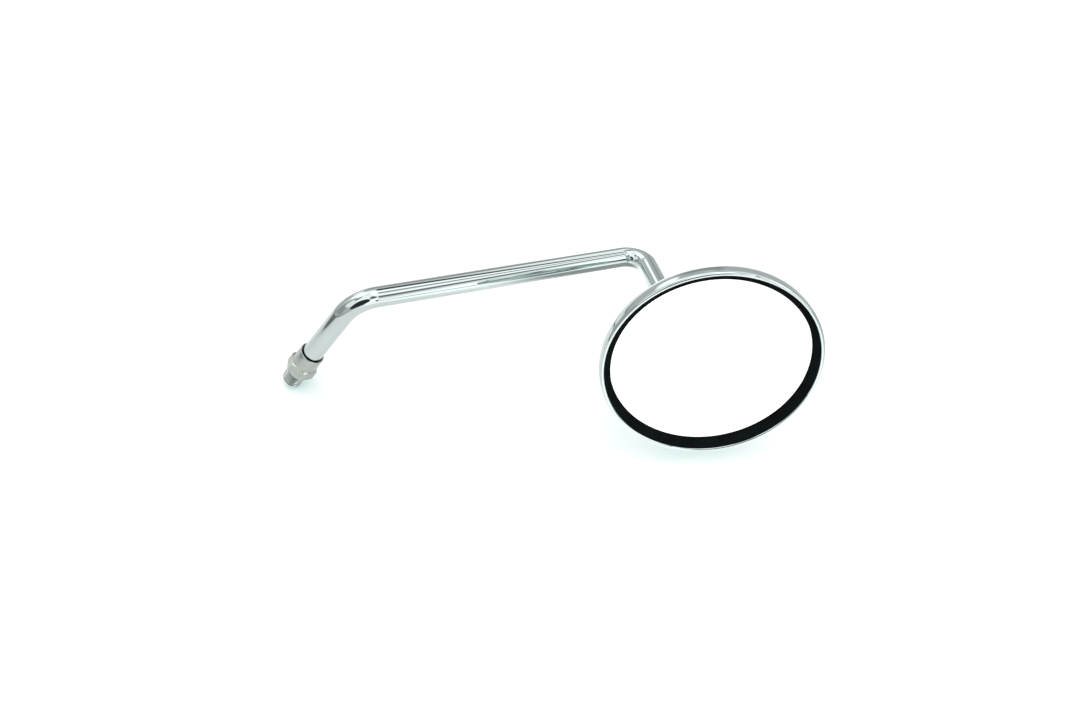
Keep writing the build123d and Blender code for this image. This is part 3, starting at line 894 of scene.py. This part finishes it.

# Painted light of the floor that the chrome shows, across the picture from left to right, in millimetres.
FLOOR_BANDS = (
    (-600, 0.50),
    (-290, 0.50),
    (-250, 0.22),
    (-190, 0.18),
    (-172, 0.62),
    (-150, 0.80),
    (-80, 0.91),
    (0, 0.95),
    (95, 0.97),
    (120, 1.18),
    (150, 1.45),
    (240, 1.50),
    (290, 1.15),
    (340, 0.85),
    (420, 0.62),
    (600, 0.55),
)

# Painted shade of the head in that floor: brightness, place across and away, radius, softness, in
# millimetres.
HEAD_SHADE = (0.42, 178.0, 22.0, 28.0, 45.0)

# Floor as the pieces' own matt surfaces see it.
FLOOR_BOUNCE = (0.8, 0.8, 0.8, 1.0)


def along(tree, ray, axis):
    """Part of a vector that lies along an axis."""
    return vector_step(tree, "DOT_PRODUCT", ray, axis)["Value"]


def turned(tree, ray, side, front):
    """Angle of a ray round an axis, in degrees from the front towards the side."""
    turn = calculate(tree, "ARCTAN2", along(tree, ray, side), along(tree, ray, front))
    return calculate(tree, "DEGREES", turn)


def raised(tree, ray, axis):
    """Angle of a ray above the plane across an axis, in degrees."""
    return calculate(tree, "DEGREES", calculate(tree, "ARCSINE", along(tree, ray, axis)))


def band_ramp(tree, value, bands, unit=1.0, gain=1.0):
    """Grey ramp through a table of places and levels."""
    first, last = bands[0][0], bands[-1][0]
    share = fade(tree, value, first * unit, last * unit, kind="LINEAR")
    node = add_node(tree, "ShaderNodeValToRGB")
    elements = node.color_ramp.elements
    for place, _ in bands[1:-1]:
        elements.new((place - first) / (last - first))
    for element, (_, level) in zip(elements, bands):
        element.color = (*(level * gain,) * 3, 1.0)
    feed(tree, node.inputs[0], share)
    return node.outputs[0]


def seen_directly(tree):
    """One for what the camera sees, itself or through clear pieces."""
    path = add_node(tree, "ShaderNodeLightPath").outputs
    return calculate(tree, "ADD", path["Is Camera Ray"], path["Is Transmission Ray"], clamp=True)


class MIRROR_OT_stage(bpy.types.Operator):
    """Set the camera, the white floor and the soft studio light"""

    bl_idname = "round_mirror.stage"
    bl_label = "Stage"

    def execute(self, context):
        stage = context.scene.mirror_stage
        back = Vector(stage.camera_back).normalized()
        right = Vector(stage.camera_right)
        right = (right - back * right.dot(back)).normalized()
        above = back.cross(right)
        floor_up = above * cos(stage.look_down) + back * sin(stage.look_down)
        away = floor_up.cross(right)
        self.set_camera(context, stage, right, above, back)
        self.lay_floor(context, stage, floor_up, right, away)
        self.hang_lamp(context, stage, floor_up)
        self.light_studio(context, stage, right, away, floor_up)
        context.scene.view_settings.view_transform = "Standard"
        return {"FINISHED"}

    def set_camera(self, context, stage, right, above, back):
        data = bpy.data.cameras.new("Camera")
        data.lens = stage.focal_length
        data.clip_start = 0.01
        camera = bpy.data.objects.new("Camera", data)
        matrix = Matrix((right, above, back)).transposed().to_4x4()
        matrix.translation = Vector(stage.camera_place)
        camera.matrix_world = matrix
        context.scene.collection.objects.link(camera)
        context.scene.camera = camera

    def lay_floor(self, context, stage, floor_up, right, away):
        """White floor at the tip of the thread, with room under the head to move in, clear from below."""
        tip = self.lowest("stem", floor_up)
        head = self.lowest("shell", floor_up) - floor_up * stage.floor_drop
        slope = (head - tip).normalized()
        level = (floor_up - slope * floor_up.dot(slope)).normalized()
        bm = bmesh.new()
        bmesh.ops.create_grid(bm, x_segments=1, y_segments=1, size=stage.floor_size)
        bmesh.ops.transform(bm, matrix=axis_matrix(tip, level), verts=bm.verts[:])
        mesh = bpy.data.meshes.new("floor")
        bm.to_mesh(mesh)
        bm.free()
        mesh.materials.append(self.floor_material(stage, right, away))
        floor = bpy.data.objects.new("floor", mesh)
        context.scene.collection.objects.link(floor)

    def lowest(self, node, floor_up):
        return min((vert.co for vert in frame["nodes"][node].data.vertices), key=floor_up.dot).copy()

    def floor_material(self, stage, right, away):
        """White with a soft tinted shadow to the camera, and with painted bands of light to the chrome."""
        material = bpy.data.materials.new("White Floor")
        material.use_nodes = True
        tree = material.node_tree
        tree.nodes.clear()
        place = add_node(tree, "ShaderNodeTexCoord").outputs["Object"]
        shown = self.mirrored_floor(tree, along(tree, place, right), along(tree, place, away))
        glossy = add_node(tree, "ShaderNodeLightPath").outputs["Is Glossy Ray"]
        seen = seen_directly(tree)
        paint = pick_colour(tree, seen, FLOOR_BOUNCE, (*stage.floor_colour, 1.0))
        rest = tuple(stage.floor_white - part for part in stage.floor_colour)
        glow = pick_colour(tree, seen, (0.0, 0.0, 0.0, 1.0), (*rest, 1.0))
        matt = fed_node(tree, "ShaderNodeBsdfDiffuse", pick_colour(tree, glossy, paint, shown))[0]
        lit = fed_node(tree, "ShaderNodeEmission", pick_colour(tree, glossy, glow, shown))[0]
        both = fed_node(tree, "ShaderNodeAddShader", matt, lit)[0]
        clear = add_node(tree, "ShaderNodeBsdfTransparent").outputs[0]
        below = add_node(tree, "ShaderNodeNewGeometry").outputs["Backfacing"]
        pick = fed_node(tree, "ShaderNodeMixShader", below, both, clear)[0]
        fed_node(tree, "ShaderNodeOutputMaterial", pick)
        return material

    def mirrored_floor(self, tree, across, deep):
        """Half of the floor's painted light and shade that the chrome shows: the matt and the lit half add
        up to the whole.
        """
        bands = band_ramp(tree, across, FLOOR_BANDS, unit=MM, gain=0.5)
        # Painted shade of the head, laid into the floor that the chrome shows.
        level, head_across, head_deep, radius, soft = HEAD_SHADE
        squares = []
        for value, middle in ((across, head_across), (deep, head_deep)):
            offset = calculate(tree, "SUBTRACT", value, middle * MM)
            squares.append(calculate(tree, "MULTIPLY", offset, offset))
        reach = calculate(tree, "SQRT", calculate(tree, "ADD", *squares))
        under = fade(tree, reach, (radius + soft) * MM, radius * MM)
        return pick_colour(tree, under, bands, (*(level * 0.5,) * 3, 1.0))

    def hang_lamp(self, context, stage, floor_up):
        """Wide soft lamp straight above the floor."""
        data = bpy.data.lights.new("key", "SUN")
        data.energy = stage.key_strength
        data.angle = stage.key_spread
        lamp = bpy.data.objects.new("key", data)
        lamp.visible_glossy = False
        lamp.matrix_world = axis_matrix(floor_up, floor_up)
        context.scene.collection.objects.link(lamp)

    def light_studio(self, context, stage, right, away, floor_up):
        """World light from the studio's walls, roof and openings; the camera itself sees plain white."""
        world = bpy.data.worlds.new("White Studio")
        world.use_nodes = True
        context.scene.world = world
        tree = world.node_tree
        tree.nodes.clear()
        ray = add_node(tree, "ShaderNodeTexCoord").outputs["Generated"]
        azimuth = turned(tree, ray, right, away)
        height = raised(tree, ray, floor_up)
        light = band_ramp(tree, height, STUDIO_RISE)
        panel = self.panel_group()
        for settings in STUDIO_PANELS:
            light = fed_node(tree, "ShaderNodeGroup", azimuth, height, light, *settings, node_tree=panel)[0]
        light = self.rod_bands(context, tree, ray, floor_up, away, light)
        studio = fed_node(tree, "ShaderNodeBackground", light, stage.studio_strength)[0]
        plain = fed_node(tree, "ShaderNodeBackground", (1.0, 1.0, 1.0, 1.0))[0]
        pick = fed_node(tree, "ShaderNodeMixShader", seen_directly(tree), studio, plain)[0]
        fed_node(tree, "ShaderNodeOutputWorld", pick)

    def panel_group(self):
        """Soft-edged panel of one brightness, laid over the light so far."""
        places = ("Azimuth", "Height", "Light")
        sizes = ("Level", "Middle", "Half Width", "Centre", "Half Height", "Corner", "Soft")
        group, given, result = new_group("Studio Panel", places + sizes, ("Light",))
        turn = calculate(group, "SUBTRACT", given["Azimuth"], given["Middle"])
        turn = calculate(group, "WRAP", turn, 180.0, -180.0)
        lift = calculate(group, "SUBTRACT", given["Height"], given["Centre"])
        squares = []
        for offset, half in ((turn, "Half Width"), (lift, "Half Height")):
            past = calculate(group, "SUBTRACT", calculate(group, "ABSOLUTE", offset), given[half])
            past = calculate(group, "MAXIMUM", calculate(group, "ADD", past, given["Corner"]), 0.0)
            squares.append(calculate(group, "MULTIPLY", past, past))
        reach = calculate(group, "SQRT", calculate(group, "ADD", *squares))
        past = calculate(group, "SUBTRACT", reach, given["Corner"])
        cover = fade(group, past, 0.0, given["Soft"], 1.0, 0.0)
        change = calculate(group, "SUBTRACT", given["Level"], given["Light"])
        feed(group, result["Light"], calculate(group, "MULTIPLY_ADD", change, cover, given["Light"]))
        return group

    def rod_bands(self, context, tree, ray, floor_up, away, light):
        """Bands along the rod's long run, laid over the panels in the directions that the run reflects."""
        bend = context.scene.mirror_stem.bend_1_angle
        run = Vector((sin(bend), 0.0, cos(bend)))
        over = (floor_up - run * run.dot(floor_up)).normalized()
        front = run.cross(over)
        if front.dot(away) < 0:
            front = -front
        turn = calculate(tree, "WRAP", turned(tree, ray, over, front), 270.0, -90.0)
        slope = raised(tree, ray, run)
        narrow = fade(tree, slope, *SEAM_SLOPES, *SEAM_SPREAD, kind="LINEAR")
        turn = calculate(tree, "DIVIDE", calculate(tree, "SUBTRACT", turn, SEAM_MIDDLE), narrow)
        turn = calculate(tree, "ADD", turn, SEAM_MIDDLE)
        inside = 1.0
        for value, (start, full, end, gone) in ((slope, RUN_SLOPES), (turn, RUN_TURNS)):
            inside = calculate(tree, "MULTIPLY", inside, fade(tree, value, start, full))
            inside = calculate(tree, "MULTIPLY", inside, fade(tree, value, gone, end))
        return pick_colour(tree, inside, light, band_ramp(tree, turn, STUDIO_BANDS))


class MIRROR_PT_panel(bpy.types.Panel):
    """Pieces of the mirror, its finishes and its stage"""

    bl_idname = "MIRROR_PT_panel"
    bl_label = "Round Handlebar Mirror"
    bl_space_type = "VIEW_3D"
    bl_region_type = "UI"
    bl_category = "Mirror"

    def draw(self, context):
        scene = context.scene
        for operator, settings in (
            (MIRROR_OT_stem, scene.mirror_stem),
            (MIRROR_OT_lock_nut, scene.mirror_nut),
            (MIRROR_OT_shell, scene.mirror_head),
            (MIRROR_OT_gasket, None),
            (MIRROR_OT_glass, None),
            (MIRROR_OT_inner_parts, scene.mirror_finishes),
            (MIRROR_OT_stage, scene.mirror_stage),
        ):
            box = self.layout.box()
            box.operator(operator.bl_idname)
            if settings:
                for name in settings.__annotations__:
                    box.prop(settings, name)


CLASSES = (
    MirrorStemSizes,
    MirrorNutSizes,
    MirrorHeadSizes,
    MirrorFinishes,
    MirrorStage,
    MIRROR_OT_stem,
    MIRROR_OT_lock_nut,
    MIRROR_OT_shell,
    MIRROR_OT_gasket,
    MIRROR_OT_glass,
    MIRROR_OT_inner_parts,
    MIRROR_OT_stage,
    MIRROR_PT_panel,
)

SETTINGS = {
    "mirror_stem": MirrorStemSizes,
    "mirror_nut": MirrorNutSizes,
    "mirror_head": MirrorHeadSizes,
    "mirror_finishes": MirrorFinishes,
    "mirror_stage": MirrorStage,
}


def register():
    for item in CLASSES:
        bpy.utils.register_class(item)
    for name, group in SETTINGS.items():
        setattr(bpy.types.Scene, name, bpy.props.PointerProperty(type=group))


def unregister():
    for name in SETTINGS:
        delattr(bpy.types.Scene, name)
    for item in reversed(CLASSES):
        bpy.utils.unregister_class(item)


def main():
    register()
    bpy.ops.round_mirror.stem()
    bpy.ops.round_mirror.lock_nut()
    bpy.ops.round_mirror.shell()
    bpy.ops.round_mirror.gasket()
    bpy.ops.round_mirror.glass()
    bpy.ops.round_mirror.inner_parts()
    bpy.ops.round_mirror.stage()


if __name__ == "__main__":
    main()
